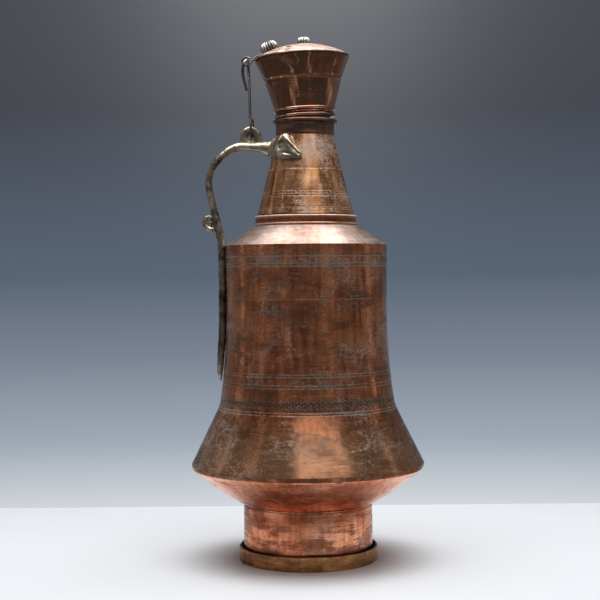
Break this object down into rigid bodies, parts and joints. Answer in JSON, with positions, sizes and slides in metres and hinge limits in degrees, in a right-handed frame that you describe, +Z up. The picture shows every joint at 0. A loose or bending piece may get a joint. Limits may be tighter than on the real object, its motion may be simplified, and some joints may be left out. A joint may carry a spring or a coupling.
{
  "type": "lidded copper water jug",
  "caption": "Tall bell-bodied copper water jug on a drum foot, with a conical neck, a cast brass handle and a flared lid hung from a wire link.",
  "frame": {"origin": "on the jug's axis, at the plane of the foot band that it stands on", "axes": "+Z up along the jug's axis, -X towards the handle, -Y towards the side that shows the animal head in profile"},
  "size_m": [0.2726, 0.2726, 0.6117],
  "materials": {
    "bright_copper": "bright scraped copper",
    "brown_copper": "worn brown copper with grey-green patches",
    "neck_copper": "golden brown copper with traces of tin",
    "dark_copper": "dark oxidised copper",
    "lid_copper": "polished brown copper",
    "band_bronze": "golden brown bronze",
    "cast_brass": "cast brass with dark hollows",
    "white_metal": "fluted tinned metal",
    "dark_iron": "dark wrought iron"
  },
  "bodies": {
    "jug": {"foot_band": "band_bronze", "foot_ring": "bright_copper", "base_disc": "bright_copper", "lower_pan": "bright_copper", "body_bell": "brown_copper", "shoulder_cone": "brown_copper", "neck_base_collar": "brown_copper", "neck_cone": "neck_copper", "mouth_collar": "dark_copper", "mouth_bead": "dark_copper", "handle": "cast_brass", "handle_lug": "cast_brass", "saddle_rivets": "cast_brass"},
    "link": {"link": "dark_iron"},
    "lid": {"lid_sleeve": "lid_copper", "lid_base_ring": "lid_copper", "lid_lower_wall": "lid_copper", "lid_upper_flare": "lid_copper", "lid_top": "lid_copper", "lid_knob": "white_metal", "lid_boss": "white_metal", "lid_strap": "dark_iron", "lid_roves": "dark_iron"}
  },
  "joints": [
    {"name": "link_swing", "type": "hinge", "parent": "jug", "child": "link", "pos_m": [-0.0635, 0, 0.495], "axis": [0, -1, 0], "range_deg": [0, 100]},
    {"name": "lid_swing", "type": "hinge", "parent": "link", "child": "lid", "pos_m": [-0.067, 0, 0.58398], "axis": [0, -1, 0], "range_deg": [0, 20.5]}
  ],
  "couplings": [
    {"joint": "lid_swing", "follows": "link_swing", "ratio": 0.2}
  ]
}
